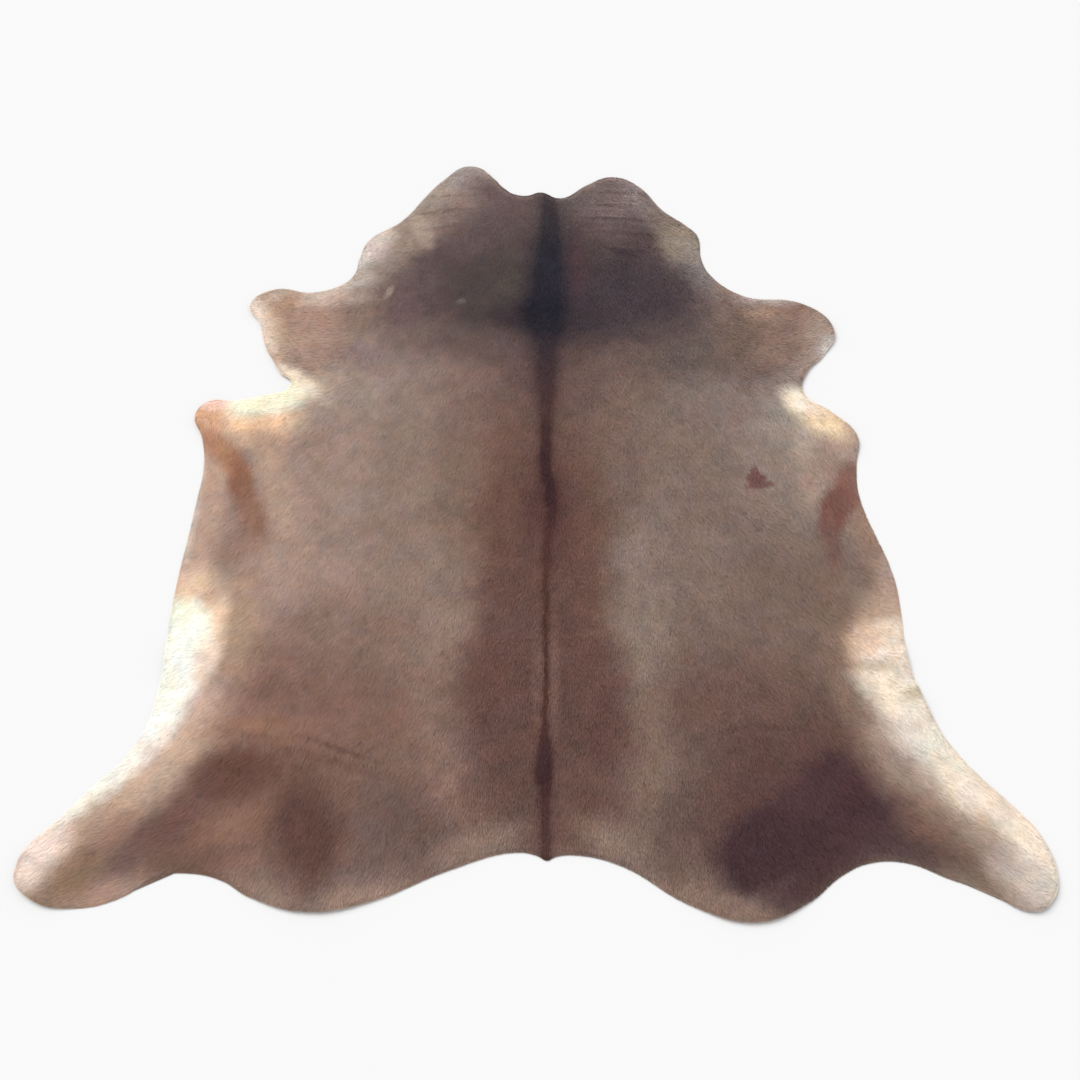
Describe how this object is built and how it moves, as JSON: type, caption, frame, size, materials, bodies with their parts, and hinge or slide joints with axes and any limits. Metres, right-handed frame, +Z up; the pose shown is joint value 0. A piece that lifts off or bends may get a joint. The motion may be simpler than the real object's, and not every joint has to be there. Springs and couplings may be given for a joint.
{
  "type": "hair-on cowhide rug",
  "caption": "Whole hair-on cowhide spread flat as a rug, with neck lobes, shanks and rump, and a dark line along the backbone.",
  "frame": {"origin": "on the ground, under the middle of the hide's bounding box", "axes": "+Y from the tail to the head, +Z up out of the coat, +X to the right of someone who stands at the tail and looks to the head"},
  "size_m": [2.117, 2.21, 0.0116],
  "materials": {
    "hide": "short taupe coat with a dark line along the backbone, cream flanks and dark thighs, over a pale suede flesh side"
  },
  "bodies": {
    "root": {"hide": "hide"}
  },
  "joints": []
}
